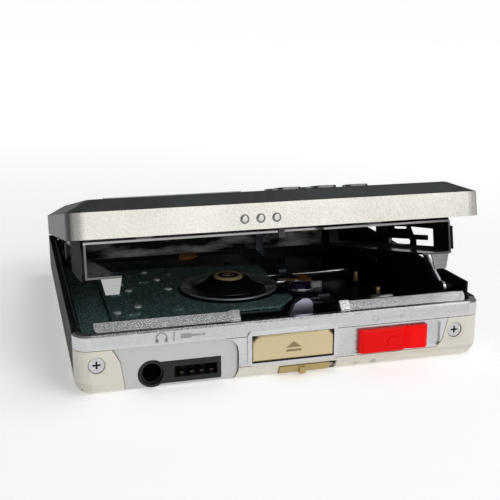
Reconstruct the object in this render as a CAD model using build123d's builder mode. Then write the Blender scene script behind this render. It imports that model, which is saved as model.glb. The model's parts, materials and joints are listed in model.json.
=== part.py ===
import os

from build123d import *

# Portable recorder for a cartridge disc.  Millimetres, +X right, +Y to the hinge, +Z up.
# The origin lies on the underside, level with the spindle from side to side.  The lid stands
# open; its pieces are drawn on planes already swung open, in the coordinates they have when shut.

# ---------------------------------------------------------------- driving sizes
case_w = 82.0
case_x = 1.0
case_d = 86.0
corner_r = 3.2
bottom_r = 3.0
belt_top = 12.0
belt_h = 3.0
wall = 1.2
rail_t = 1.6
panel_t = 1.6
joint_gap = 0.12
slide_gap = 0.1
run_gap = 0.05

lid_open = 12.0
lid_gap = 0.2
lid_face = 4.9
lid_rise = 2.3
lid_inset = 4.4
lid_wall = 1.0
hinge_back = 3.5
hinge_z = 10.6
pin_r = 0.7

cart_w = 72.0
cart_slack = 1.0
cart_t = 5.0
sheet = 0.4
holder_z = 4.75
channel_room = 1.05
flange_w = 6.1
holder_from_front = 4.3
holder_from_back = 12.0
arm_gap = 0.2

deck_top = 4.9
deck_t = 0.5
gutter_drop = 0.6
spindle_y = 2.0
disc_r = 11.5
disc_top = 5.5
hub_r = 3.5
hub_top = 8.2
rod_z = 2.9
rod_r = 0.5
rod_y = 15.7
screw_y = -11.5
sled_x = 18.0
sled_in = 3.0
sled_out = 11.0
jack_r = 1.8
jack_x = -25.8
jack_floor = 0.3
button_press = 0.9
rec_travel = 2.4
hold_travel = 1.5
key_press = 0.4

# ---------------------------------------------------------------- worked-out sizes
left_x = case_x - case_w / 2
right_x = case_x + case_w / 2
half_d = case_d / 2
belt_z = belt_top - belt_h
hinge_y = half_d - hinge_back
right_in = right_x - rail_t
holder_front = holder_from_front - half_d
holder_back = half_d - holder_from_back
catch_front = holder_front + sheet
catch_back = catch_front + 1.2
arm_back = half_d - 6.8
plate_front = 3.0 - half_d
jack_z = wall + jack_r + jack_floor
channel_h = cart_t + channel_room
lid_z = belt_top + lid_gap
lid_shoulder = lid_z + lid_face
lid_top = lid_shoulder + lid_rise
holder_in = (cart_w + cart_slack) / 2
holder_out = holder_in + sheet
holder_top = holder_z + sheet + channel_h + sheet
bracket_in = holder_out + run_gap
bracket_out = bracket_in + sheet
arm_in = bracket_out + arm_gap
arm_out = arm_in + 0.5
plate_z = lid_z + 2.4

front = Plane.XZ.offset(half_d)
turn = Location((0, hinge_y, hinge_z)) * Location((0, 0, 0), (-lid_open, 0, 0))
shut = Plane(turn * Location((0, -hinge_y, -hinge_z)))
shut_side = Plane(shut.origin, x_dir=shut.y_dir, z_dir=shut.x_dir)
shut_front = Plane(shut.origin, x_dir=shut.x_dir, z_dir=-shut.y_dir)
shut_up = Axis(shut.origin, shut.z_dir)


def keep(piece, name):
    """Label a finished piece and write its STEP file."""
    piece.part.label = name
    export_step(piece.part, f"parts/{name}.step")


def block(x0, x1, y0, y1, z0, z1, plane=Plane.XY, mode=Mode.ADD):
    """Box between two corners, in the coordinates of the given plane."""
    with BuildSketch(plane.offset(z0)) as face:
        with Locations(((x0 + x1) / 2, (y0 + y1) / 2)):
            Rectangle(x1 - x0, y1 - y0)
    extrude(face.sketch, amount=z1 - z0, mode=mode)


def plan(inset=0.0, plane=Plane.XY):
    """Rounded outline of the case, drawn inset from its outer face."""
    corner = corner_r - inset
    if corner < 0.5:
        corner = corner_r
    with BuildSketch(plane) as outline:
        with Locations((case_x, 0)):
            RectangleRounded(case_w - 2 * inset, case_d - 2 * inset, corner)
    return outline.sketch


def rod(x, y, r, length, plane, mode=Mode.ADD):
    """Round bar or hole that starts on a plane at local x, y."""
    with BuildSketch(plane) as disc:
        with Locations((x, y)):
            Circle(r)
    extrude(disc.sketch, amount=length, mode=mode)


def front_shape(points, start, depth, mode=Mode.ADD, blend=0.0):
    """Prism from an outline on the front, from a depth behind it and further back."""
    with BuildSketch(front.offset(-start - depth)) as face:
        with BuildLine():
            Polyline(points, close=True)
        make_face()
        if blend:
            fillet(face.vertices(), blend)
    extrude(face.sketch, amount=depth, mode=mode)


os.makedirs("parts", exist_ok=True)

# ---------------------------------------------------------------- front outlines
jack_left, jack_right = -33.0, -9.4
panel_low = 3.1
panel_right = 33.2
jack_face = [(jack_left, belt_z), (jack_left + 1.4, 6.4), (jack_left + 2.3, -0.1),
             (jack_right - 0.9, -0.1), (jack_right, 2.6), (jack_right, belt_z - 2.8),
             (jack_right - 0.3, belt_z - 1.5), (jack_right - 1.2, belt_z - 0.5), (jack_right - 2.6, belt_z)]
lobe_left = jack_right + joint_gap
lobe_face = [(lobe_left - 2.6, belt_z), (lobe_left - 1.2, belt_z - 0.5 + joint_gap / 2),
             (lobe_left - 0.3, belt_z - 1.5), (lobe_left, belt_z - 2.8), (lobe_left, panel_low),
             (panel_right - 1.2, panel_low), (panel_right, 4.4), (panel_right + 1.2, belt_z)]
button_x0, button_x1, button_z0, button_z1 = -6.7, 9.7, 3.9, 9.1
rec_x0, rec_x1, rec_z0, rec_z1 = 15.2, 29.7, 3.5, 8.2
hold_x0, hold_x1 = -1.2, 9.0
screw_x, screw_z, screw_head_r = 36.0, 6.3, 1.45
tongue_x0, tongue_x1 = 2.0, 7.1

# ---------------------------------------------------------------- lower case
with BuildPart() as lower_case:
    extrude(plan(), amount=belt_z)
    fillet(lower_case.faces().sort_by(Axis.Z)[0].edges(), bottom_r)
    extrude(plan(wall, Plane.XY.offset(wall)), amount=belt_z, mode=Mode.SUBTRACT)
    for x in (left_x, right_x - 2):
        block(x, x + 2, -half_d + corner_r, half_d, bottom_r + 0.6, belt_z, mode=Mode.SUBTRACT)
    block(left_x, right_x, half_d - 2.2, half_d, bottom_r + 0.6, belt_z, mode=Mode.SUBTRACT)
    jack_cut = [(x - joint_gap if x < -20 else x + joint_gap, z) for x, z in jack_face]
    front_shape(jack_cut, -1, 5.0, Mode.SUBTRACT)
    lobe_cut = [(x - joint_gap if x < 0 else x + joint_gap, z if z == belt_z else z - joint_gap)
                for x, z in lobe_face]
    front_shape(lobe_cut, -1, 4.2, Mode.SUBTRACT)
    block(hold_x0 - slide_gap, hold_x1 + hold_travel + slide_gap, -half_d - 1, -half_d + 2.2, 0.3, 2.4,
          mode=Mode.SUBTRACT)
    for side in (-1, 1):
        rod(side * screw_x, screw_z, screw_head_r + joint_gap, -1.4, front.offset(0.4), Mode.SUBTRACT)
        block(min(side * 34.8, side * 38.6), max(side * 34.8, side * 38.6), -half_d + wall, -39.6,
              wall, belt_z - 0.4)
        rod(side * screw_x, screw_z, 0.8, -3.6, front, Mode.SUBTRACT)
    with Locations(*[(x, y, 0) for x in (-33, 33) for y in (-31, 33)]):
        CounterBoreHole(0.85, 1.5, 0.6, 2 * wall)
keep(lower_case, "lower_case")

# ---------------------------------------------------------------- silver front panel with its belt
with BuildPart() as front_panel:
    extrude(plan(0, Plane.XY.offset(belt_z + joint_gap)), amount=belt_h - joint_gap)
    extrude(plan(1.5, Plane.XY.offset(belt_z)), amount=belt_h, mode=Mode.SUBTRACT)
    block(left_x, right_x, -half_d + corner_r, half_d, belt_z, belt_top, mode=Mode.SUBTRACT)
    chamfer(front_panel.faces().sort_by(Axis.Z)[-1].edges().sort_by(Axis.Y)[0], 0.35)
    front_shape(lobe_face, 0, 1.3)
    front_shape([(button_x0 - 0.9, panel_low), (button_x1 + 0.9, panel_low),
                 (button_x1 + 0.9, 10.0), (button_x0 - 0.9, 10.0)], -0.35, 0.7, blend=1.0)
    front_shape([(button_x0 - slide_gap, button_z0 - 0.25), (button_x1 + slide_gap, button_z0 - 0.25),
                 (button_x1 + slide_gap, button_z1 + slide_gap),
                 (button_x0 - slide_gap, button_z1 + slide_gap)], -2, 6, Mode.SUBTRACT)
    front_shape([(rec_x0 - 1.6, rec_z0 - 0.15), (rec_x1 + rec_travel + 0.7, rec_z0 - 0.15),
                 (rec_x1 + rec_travel + 0.7, belt_z - 0.3), (rec_x0 - 1.2, belt_z - 0.3)], -1, 1.5,
                Mode.SUBTRACT, blend=0.9)
    front_shape([(rec_x0 + 2, 5.0), (rec_x1 + rec_travel - 2, 5.0), (rec_x1 + rec_travel - 2, 6.8),
                 (rec_x0 + 2, 6.8)], -1, 4, Mode.SUBTRACT)
keep(front_panel, "front_panel")

# ---------------------------------------------------------------- grey jack panel
jack_set = 0.7
jack_ring = 2.62
jack_barrel = jack_r + 0.25
jack_long = 10.2
jack_mouth = front.offset(-jack_set + 0.1)
with BuildPart() as jack_panel:
    with BuildSketch(Plane.YZ.offset(jack_left)) as profile:
        with BuildLine():
            y0 = -half_d + jack_set
            Polyline((y0 + bottom_r, wall), (y0 + bottom_r, 0), (y0 + 2.2, 0))
            RadiusArc((y0 + 2.2, 0), (y0, 2.2), 2.2)
            Polyline((y0, 2.2), (y0, belt_z), (y0 + panel_t, belt_z), (y0 + panel_t, wall),
                     (y0 + bottom_r, wall))
        make_face()
    extrude(amount=jack_right - jack_left)
    front_shape(jack_face, -1, 6, Mode.INTERSECT)
    rod(jack_x, jack_z, jack_ring + joint_gap, -5, front.offset(1), Mode.SUBTRACT)
    block(jack_x, jack_x + 13.2, -half_d - 1, -half_d + 5, jack_z - 2.25, jack_z + 2.25, mode=Mode.SUBTRACT)
keep(jack_panel, "jack_panel")

# ---------------------------------------------------------------- jack and remote connector
with BuildPart() as remote_connector:
    rod(jack_x, jack_z, jack_ring, -3.0, jack_mouth)
    rod(jack_x, jack_z, jack_barrel, -jack_long, jack_mouth)
    block(jack_x + 1, jack_x + 13.1, -half_d + jack_set - 0.1, -half_d + 5.0, jack_z - 2.0, jack_z + 2.15)
    rod(jack_x, jack_z, jack_ring - 0.45, -0.8, jack_mouth, Mode.SUBTRACT)
    rod(jack_x, jack_z, jack_r, 0.7 - jack_long, jack_mouth, Mode.SUBTRACT)
    block(jack_x + 4.2, jack_x + 12.4, -half_d, -half_d + 4.5, jack_z - 1.1, jack_z + 1.1,
          mode=Mode.SUBTRACT)
keep(remote_connector, "remote_connector")

with BuildPart() as connector_contacts:
    for number in range(4):
        x = jack_x + 5.4 + 1.9 * number
        block(x, x + 0.7, -half_d + 1.6, -half_d + 4.5, jack_z - 0.9, jack_z - 0.5)
keep(connector_contacts, "connector_contacts")

# ---------------------------------------------------------------- screws
with BuildPart() as front_screws:
    for side in (-1, 1):
        rod(side * screw_x, screw_z, screw_head_r, -0.8, front.offset(-0.2))
        rod(side * screw_x, screw_z, 0.7, -3.0, front.offset(-0.6))
        for size in ((1.5, 0.35), (0.35, 1.5)):
            with BuildSketch(front.offset(-0.2)):
                with Locations((side * screw_x, screw_z)):
                    Rectangle(*size)
            extrude(amount=-0.4, mode=Mode.SUBTRACT)
keep(front_screws, "front_screws")

with BuildPart() as bottom_screws:
    for x in (-33, 33):
        for y in (-31, 33):
            rod(x, y, 1.4, 0.5, Plane.XY.offset(0.1))
            rod(x, y, 0.75, 0.8, Plane.XY.offset(0.4))
            for size in ((1.4, 0.35), (0.35, 1.4)):
                with BuildSketch(Plane.XY.offset(0.1)):
                    with Locations((x, y)):
                        Rectangle(*size)
                extrude(amount=0.3, mode=Mode.SUBTRACT)
keep(bottom_screws, "bottom_screws")

# ---------------------------------------------------------------- side rails, rear cover, pins
rim_inset = lid_wall + 0.15
rim_top = 14.9
rim_front = 4.2 - half_d
rim_back = half_d - 13.0
arm_y, arm_z = -33.5, 12.4
rail_z = bottom_r + 0.65
jack_ys = (8.0, 18.0)
side_jack_z = 7.4
for side, label in ((-1, "left"), (1, "right")):
    inner = Plane.YZ.offset(right_in if side > 0 else left_x)
    with BuildPart() as rail:
        with BuildSketch(inner):
            with BuildLine():
                Polyline((-half_d + corner_r + 0.1, rail_z), (hinge_y + 1.0, rail_z),
                         (hinge_y + 1.0, belt_top - 0.4), (hinge_y - 1.5, belt_top),
                         (-half_d + corner_r + 0.1, belt_top), close=True)
            make_face()
        extrude(amount=rail_t)
        if side > 0:
            block(right_in, right_x - rim_inset, rim_front, rim_back, belt_top - 1, rim_top)
        else:
            block(left_x + rim_inset, left_x + rail_t, rim_front, rim_back, belt_top - 1, belt_top + 0.9)
        rod(hinge_y, hinge_z, pin_r, rail_t, inner, Mode.SUBTRACT)
        for number in range(26):
            x = left_x - 0.1 if side < 0 else right_x - 0.2
            y = -36 + 2.8 * number
            block(x, x + 0.3, y, y + 0.9, rail_z + 1.2, rail_z + 1.7, mode=Mode.SUBTRACT)
        if side > 0:
            rod(arm_y, arm_z, 0.6, right_in - arm_in + 0.1, Plane.YZ.offset(arm_in - 0.1))
            for y in jack_ys:
                rod(y, side_jack_z, 2.6 + joint_gap, rail_t, inner, Mode.SUBTRACT)
    keep(rail, f"side_rail_{label}")

with BuildPart() as hinge_pins:
    for start, end in ((left_x + 0.4, 0.2 - bracket_in), (bracket_in - 0.2, right_x - 0.4)):
        rod(hinge_y, hinge_z, pin_r, end - start, Plane.YZ.offset(start))
keep(hinge_pins, "hinge_pins")

with BuildPart() as rear_cover:
    extrude(plan(0, Plane.XY.offset(rail_z)), amount=11.0 - rail_z)
    block(left_x, right_x, -half_d, hinge_y + 1.1, 0, belt_top, mode=Mode.SUBTRACT)
    block(left_x + 2.0, right_x - 2.0, 0, half_d - wall, 0, belt_top, mode=Mode.SUBTRACT)
keep(rear_cover, "rear_cover")

for y, label in zip(jack_ys, ("line_jack", "microphone_jack")):
    with BuildPart() as side_jack:
        rod(y, side_jack_z, 2.6, 1.5, Plane.YZ.offset(right_in))
        rod(y, side_jack_z, jack_r, 1.5, Plane.YZ.offset(right_in), Mode.SUBTRACT)
    keep(side_jack, label)

# ---------------------------------------------------------------- front lips
lip_back = -39.4
lip_front = -half_d + 1.7
lip_peak = 13.3
for x0, x1, end_x, label in ((-36.0, -8.4, -10.4, "left"), (12.0, right_x - 2.8, 12.0, "right")):
    with BuildPart() as lip:
        with BuildSketch(Plane.YZ.offset(x0)):
            with BuildLine():
                Polyline((lip_front, 10.2), (lip_front, 11.8), (lip_back - 0.3, lip_peak),
                         (lip_back, lip_peak), (lip_back, 9.6), (lip_back - 0.9, 9.6),
                         (lip_back - 0.9, 10.2), close=True)
            make_face()
        extrude(amount=x1 - x0)
        with BuildSketch(Plane.YZ.offset(end_x)):
            with BuildLine():
                Polyline((lip_front + 0.2, 11.4), (lip_front + 0.2, 12.2), (lip_back - 0.4, lip_peak + 0.25),
                         (lip_back, lip_peak + 0.25), (lip_back, 11.4), close=True)
            make_face()
        extrude(amount=2.0)
        ends = lip.edges().filter_by(Axis.Z).group_by(Axis.X)
        outer = ends[0] if x0 < 0 else ends[-1]
        fillet(outer.sort_by(Axis.Y)[0], 0.9)
    keep(lip, f"front_lip_{label}")

# ---------------------------------------------------------------- deck and frame
deck_x0 = -holder_out + 0.2
deck_edge = -29.6
with BuildPart() as deck_plate:
    with BuildSketch(Plane.XY.offset(deck_top - deck_t)):
        with BuildLine():
            Polyline((deck_edge, -37.8), (-7.5, -37.8), (-7.5, -19.0), (-3.0, -14.5), (8.0, -14.5),
                     (12.6, -9.0), (12.6, 20.0), (-8.0, 23.4), (deck_edge, 23.4), close=True)
        make_face()
        with Locations((0, spindle_y)):
            Circle(disc_r + 0.7, mode=Mode.SUBTRACT)
        with Locations((jack_x, -half_d + jack_long / 2)):
            Rectangle(2 * jack_barrel + 0.6, jack_long + 3.6, mode=Mode.SUBTRACT)
        with Locations((14, spindle_y)):
            Rectangle(12, 16, mode=Mode.SUBTRACT)
    extrude(amount=deck_t)
    block(deck_x0, deck_edge + 0.1, -37.0, 34.0, deck_top - gutter_drop - deck_t, deck_top - gutter_drop)
    block(deck_edge - 0.3, deck_edge + 0.2, -37.0, 23.4, deck_top - gutter_drop - deck_t, deck_top)
    with BuildSketch(Plane.XY.offset(deck_top)):
        with Locations((-24, -26), (-13, -24), (-25, -12), (-15, -11), (-27, 3), (-19, 12)):
            SlotOverall(3.0, 1.4)
    extrude(amount=0.35)
    with BuildSketch(Plane.XY.offset(deck_top)):
        with Locations((-20, -31), (-10, -31), (-20, -18), (-21.5, -34), (-22, 18), (-12, 17), (-27, 12)):
            Circle(0.75)
    extrude(amount=0.3)
    with BuildSketch(Plane.XY.offset(deck_top - deck_t)):
        with Locations((-16, -31), (-12, -17), (-23, -5), (-16, 3)):
            SlotOverall(2.4, 1.0)
    extrude(amount=deck_t, mode=Mode.SUBTRACT)
keep(deck_plate, "deck_plate")

frame_z = 2.0
plunger_xs = (22.5, 26.5)
plunger_y = -36.0
with BuildPart() as right_frame:
    block(-10.3, 36.6, -37.6, 34.0, frame_z - 0.7, frame_z - 0.1)
    block(8.6, 35.2, -13.6, 13.6, 0, 5, mode=Mode.SUBTRACT)
    block(13.0, 35.2, 13.0, 17.6, 0, 5, mode=Mode.SUBTRACT)
    block(31.0, 36.8, -13.6, -9.6, 0, 5, mode=Mode.SUBTRACT)
    with BuildSketch(Plane.XY):
        with Locations((0, spindle_y)):
            Circle(9.4)
    extrude(amount=5, mode=Mode.SUBTRACT)
    block(20, 29, -37.4, -34.6, frame_z - 0.2, 4.2)
    for x in plunger_xs:
        rod(x, plunger_y, 0.6 + run_gap, 5, Plane.XY.offset(frame_z - 0.1), Mode.SUBTRACT)
    block(9.0, 16.0, -34.0, -20.0, frame_z - 0.2, 3.2)
    block(20.0, 35.0, -34.0, -18.0, frame_z - 0.2, 3.6)
    block(35.4, 36.4, rod_y - 1.2, rod_y + 1.2, frame_z - 0.2, 4.2)
    block(11.8, 12.8, rod_y - 1.2, rod_y + 1.2, frame_z - 0.2, 4.0)
    block(31.4, 36.4, screw_y - 2.3, screw_y - 1.65, frame_z - 0.7, 4.2)
    block(5.0, 6.0, screw_y - 1.2, screw_y + 1.2, frame_z - 0.2, 4.0)
    rod(rod_y, rod_z, rod_r, 40, Plane.YZ, Mode.SUBTRACT)
    rod(screw_y, rod_z, 0.65, 20, Plane.YZ, Mode.SUBTRACT)
    for x, y in ((16, -27), (31, -30), (24, -22), (12, -30), (32, 26), (22, 29)):
        rod(x, y, 0.9, 3.0 - frame_z + 1.0, Plane.XY.offset(frame_z - 0.2))
keep(right_frame, "right_frame")

# ---------------------------------------------------------------- electronics under the deck
with BuildPart() as main_board:
    block(-36.0, -10.5, 15.5, 37.5, 1.4, 2.2)
    for x, y, w, d, h in ((-30, 28, 8, 8, 0.9), (-18, 29, 6, 6, 0.9), (-24, 20, 5, 4, 0.8),
                          (-14, 33, 4, 3, 1.2), (-33, 34.5, 3, 3, 1.3), (-22, 35, 6, 2, 0.7)):
        block(x - w / 2, x + w / 2, y - d / 2, y + d / 2, 2.2, 2.2 + h)
keep(main_board, "main_board")

with BuildPart() as battery:
    block(-35.5, -10.5, -29.0, 13.0, 1.3, 3.6)
    fillet(battery.edges().filter_by(Axis.Z), 1.0)
keep(battery, "battery")

with BuildPart() as battery_contacts:
    for x in (-30, -25, -20):
        block(x, x + 1.4, 13.0, 15.3, 1.9, 2.2)
        block(x, x + 1.4, 13.0, 13.3, 1.9, 3.2)
keep(battery_contacts, "battery_contacts")

with BuildPart() as flex_cable:
    block(-5.0, -1.0, 33.0, 38.0, 4.6, 4.8)
    block(-5.0, -1.0, 37.8, 38.0, 2.0, 4.8)
    block(-14.0, -1.0, 36.0, 38.0, 2.25, 2.4)
keep(flex_cable, "flex_cable")

with BuildPart() as cover_plate:
    with BuildSketch(Plane.XY.offset(3.7)):
        with BuildLine():
            Polyline((deck_edge + 0.4, 23.9), (-8.0, 23.9), (12.0, 20.6), (12.0, 35.5),
                     (deck_edge + 0.4, 35.5), close=True)
        make_face()
        with Locations((-3.0, 36)):
            Rectangle(5.4, 7, mode=Mode.SUBTRACT)
    extrude(amount=0.4)
    with BuildSketch(Plane.XY.offset(4.1)):
        with Locations((-22, 29), (-14, 31), (6, 27)):
            Circle(1.0)
    extrude(amount=0.4)
keep(cover_plate, "cover_plate")

# ---------------------------------------------------------------- spindle motor and turntable
with BuildPart() as spindle_motor:
    rod(0, spindle_y, 9.0, 0.9, Plane.XY.offset(1.25))
    rod(0, spindle_y, 7.6, 2.0, Plane.XY.offset(2.1))
    with BuildSketch(Plane.XY.offset(2.1)):
        with Locations((0, spindle_y)):
            with PolarLocations(7.9, 9):
                Rectangle(1.4, 2.2)
    extrude(amount=2.0)
    rod(0, spindle_y, 1.3 + run_gap, 4, Plane.XY.offset(1.9), Mode.SUBTRACT)
keep(spindle_motor, "spindle_motor")

with BuildPart() as turntable:
    rod(0, spindle_y, disc_r, 0.9, Plane.XY.offset(disc_top - 1.1))
    rod(0, spindle_y, 7.5, 0.5, Plane.XY.offset(disc_top - 0.3))
    rod(0, spindle_y, hub_r - 0.5, hub_top - disc_top - 0.4, Plane.XY.offset(disc_top))
    rod(0, spindle_y, 1.3, disc_top - 2.3, Plane.XY.offset(2.2))
    with BuildSketch(Plane.XY.offset(disc_top - 0.2)):
        with Locations((0, spindle_y)):
            with PolarLocations(9.4, 6):
                Circle(0.8)
    extrude(amount=-0.5, mode=Mode.SUBTRACT)
keep(turntable, "turntable")

with BuildPart() as hub_ring:
    with BuildSketch(Plane.XY.offset(hub_top - 0.4)):
        with Locations((0, spindle_y)):
            Circle(hub_r)
            Circle(1.2, mode=Mode.SUBTRACT)
    extrude(amount=0.4)
    chamfer(hub_ring.faces().sort_by(Axis.Z)[-1].edges().sort_by(SortBy.LENGTH)[-1], 0.2)
keep(hub_ring, "hub_ring")

# ---------------------------------------------------------------- sled drive
with BuildPart() as sled_motor:
    rod(screw_y, rod_z, 1.6, 5.4, Plane.YZ.offset(30.0 + 6.6 - 5.4))
    rod(screw_y, rod_z, 0.9, 0.4, Plane.YZ.offset(36.5))
    rod(screw_y, rod_z, 0.45, 1.0, Plane.YZ.offset(31.2), Mode.SUBTRACT)
keep(sled_motor, "sled_motor")

with BuildPart() as motor_bush:
    with BuildSketch(Plane.YZ.offset(30.6)):
        with Locations((screw_y, rod_z)):
            Circle(1.2)
            Circle(0.65, mode=Mode.SUBTRACT)
    extrude(amount=0.6)
keep(motor_bush, "motor_bush")

pitch = 1.5
with BuildPart() as lead_screw:
    rod(screw_y, rod_z, 0.5, 26.2, Plane.YZ.offset(5.0))
    for number in range(15):
        rod(screw_y, rod_z, 0.6, pitch / 2, Plane.YZ.offset(7.0 + pitch * number))
keep(lead_screw, "lead_screw")

with BuildPart() as guide_rod:
    rod(rod_y, rod_z, rod_r, 36.4 - 11.8, Plane.YZ.offset(11.8))
keep(guide_rod, "guide_rod")

sled_half = 5.2
with BuildPart() as pickup_sled:
    block(sled_x - sled_half, sled_x + sled_half, -8.6, 11.5, 1.6, 4.1)
    block(sled_x - 1.6, sled_x + 1.6, 11.0, rod_y + 1.3, 1.6, 4.1)
    block(sled_x - 1.0, sled_x + 1.0, rod_y, arm_back + 1.4, 4.3, 4.5)
    block(sled_x - 1.0, sled_x + 1.0, rod_y - 0.5, rod_y + 1.3, 4.0, 4.5)
    block(sled_x - 1.0, sled_x + 1.0, arm_back + 0.8, arm_back + 1.4, 4.3, 9.2)
    block(sled_x - 1.5, sled_x + 1.5, screw_y + 0.75, -8.4, 1.9, 3.9)
    rod(rod_y, rod_z, rod_r + run_gap, 60, Plane.YZ, Mode.SUBTRACT)
    rod(sled_x, spindle_y, 4.3, 1.6, Plane.XY.offset(2.5), Mode.SUBTRACT)
    block(sled_x + 1.5, sled_x + 4.4, -7.6, -4.0, 4.1, 4.5)
    block(sled_x - 4.0, sled_x - 0.5, 7.6, 10.2, 4.1, 4.4)
keep(pickup_sled, "pickup_sled")

with BuildPart() as pickup_lens:
    rod(sled_x, spindle_y, 3.9, 1.1, Plane.XY.offset(2.6))
    rod(sled_x, spindle_y, 2.0, 0.7, Plane.XY.offset(3.7))
    with BuildSketch(Plane.XY.offset(4.4)):
        with Locations((sled_x, spindle_y)):
            Circle(1.5)
    extrude(amount=0.3, taper=35)
keep(pickup_lens, "pickup_lens")

with BuildPart() as sled_flex:
    block(sled_x - 4.6, sled_x + 1.8, 6.4, 7.4, 4.1, 4.25)
    block(sled_x + 2.2, sled_x + 4.6, 5.0, 11.0, 4.1, 4.25)
keep(sled_flex, "sled_flex")

# ---------------------------------------------------------------- recording head arm, drawn shut
head_z = holder_top + 0.5
with BuildPart() as head_arm:
    block(sled_x - 1.5, sled_x + 1.5, spindle_y - 2.0, arm_back, head_z, head_z + 0.4, shut)
    block(sled_x - 1.2, sled_x + 1.2, spindle_y - 1.2, spindle_y + 1.2, holder_top - 0.9, head_z, shut)
    block(sled_x - 1.5, sled_x + 1.5, arm_back - 0.4, arm_back, head_z - 1.6, head_z, shut)
keep(head_arm, "head_arm")

# ---------------------------------------------------------------- lid shell
window = (-32.0, -4.0, -29.0, -7.0)
key_w, key_d, key_gap = 5.2, 4.2, 0.15
keys = {"play_key": (8.0, -14.0), "stop_key": (16.0, -14.0), "back_key": (8.0, -22.0),
        "forward_key": (16.0, -22.0), "menu_key": (25.0, -18.0)}
key_low = lid_top - 1.7
with BuildPart() as lid_shell:
    extrude(plan(0, shut.offset(lid_z)), amount=lid_face)
    loft([plan(0, shut.offset(lid_shoulder)).face(), plan(lid_inset, shut.offset(lid_top)).face()])
    extrude(plan(lid_wall, shut.offset(lid_z)), amount=lid_face, mode=Mode.SUBTRACT)
    loft([plan(lid_wall, shut.offset(lid_shoulder - 0.01)).face(),
          plan(lid_inset + 0.4, shut.offset(lid_top - lid_wall)).face()], mode=Mode.SUBTRACT)
    x0, x1, y0, y1 = window
    block(x0 + 1, x1 - 1, y0 + 1, y1 - 1, lid_top - 2, lid_top + 1, shut, Mode.SUBTRACT)
    with BuildSketch(shut.offset(lid_top - 2)):
        with Locations(*keys.values()):
            RectangleRounded(key_w + 2 * key_gap, key_d + 2 * key_gap, 1.2 + key_gap)
    extrude(amount=3, mode=Mode.SUBTRACT)
keep(lid_shell, "lid_shell")

# ---------------------------------------------------------------- lid fittings, drawn shut

with BuildPart() as display_window:
    x0, x1, y0, y1 = window
    block(x0, x1, y0, y1, lid_top, lid_top + 0.35, shut)
    chamfer(display_window.faces().sort_by(shut_up)[-1].edges(), 0.2)
    block(x0 + 1.1, x1 - 1.1, y0 + 1.1, y1 - 1.1, lid_top - lid_wall, lid_top, shut)
keep(display_window, "display_window")

with BuildPart() as display_module:
    block(x0 + 2, x1 - 2, y0 + 2, y1 - 2, plate_z + sheet, lid_top - lid_wall - 0.1, shut)
keep(display_module, "display_module")

with BuildPart() as key_board:
    block(4.0, 29.0, -26.0, -10.0, plate_z + sheet, plate_z + sheet + 0.6, shut)
    for x, y in keys.values():
        rod(x, y, 1.6, key_low - key_press - 0.1 - plate_z - sheet, shut.offset(plate_z + sheet))
keep(key_board, "key_board")

for name, (x, y) in keys.items():
    with BuildPart() as key:
        with BuildSketch(shut.offset(key_low)):
            with Locations((x, y)):
                RectangleRounded(key_w, key_d, 1.2)
        extrude(amount=lid_top + 0.75 - key_low)
        fillet(key.faces().sort_by(shut_up)[-1].edges(), 0.3)
    keep(key, name)

with BuildPart() as lid_plate:
    block(-bracket_out, bracket_out, plate_front, 36.0, plate_z, plate_z + sheet, shut)
    for y in (-30, 8):
        block(-10, 10, y, y + 14, plate_z, plate_z + sheet, shut, Mode.SUBTRACT)
keep(lid_plate, "lid_plate")

slot_x0 = sled_x - sled_in - 1.9
slot_x1 = sled_x + sled_out + 1.9
with BuildPart() as disc_holder:
    block(-holder_out, holder_out, holder_front, holder_back, holder_top - sheet, holder_top, shut)
    block(0.2, 9.6, holder_front, holder_front + 2.6, holder_top - sheet, holder_top, shut, Mode.SUBTRACT)
    block(slot_x0, slot_x1, spindle_y - 2.2, spindle_y + 2.2, 0, lid_top, shut, Mode.SUBTRACT)
    rod(0, spindle_y, 8.0, 5, shut.offset(holder_top - 2), Mode.SUBTRACT)
    for side in (-1, 1):
        low, high = sorted((side * holder_in, side * holder_out))
        block(low, high, holder_front, holder_back, holder_z, holder_top, shut)
        block(low, high, -32.0, -9.4, holder_z + 1.2, holder_top - 1.6, shut, Mode.SUBTRACT)
        block(low, high, -2.0, 24.0, holder_z + 1.2, holder_top - 1.6, shut, Mode.SUBTRACT)
        low, high = sorted((side * (holder_out - flange_w), side * holder_out))
        block(low, high, holder_front, holder_back, holder_z, holder_z + sheet, shut)
        with BuildSketch(shut_front.offset(-holder_front - sheet)):
            with BuildLine():
                near = 30.2 if side < 0 else 32.4
                Polyline((side * near, holder_z + sheet), (side * (near + 0.7), holder_z - 3.0),
                         (side * (near + 3.2), holder_z - 3.0), (side * (near + 4.0), holder_z + sheet),
                         close=True)
            make_face()
        extrude(amount=sheet)
keep(disc_holder, "disc_holder")

with BuildPart() as holder_springs:
    for x in (-24, 26):
        block(x - 1.5, x + 1.5, -26.0, -14.0, holder_top, holder_top + 0.3, shut)
        block(x - 1.5, x + 1.5, -26.0, -25.7, holder_top, plate_z, shut)
keep(holder_springs, "holder_springs")

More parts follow.
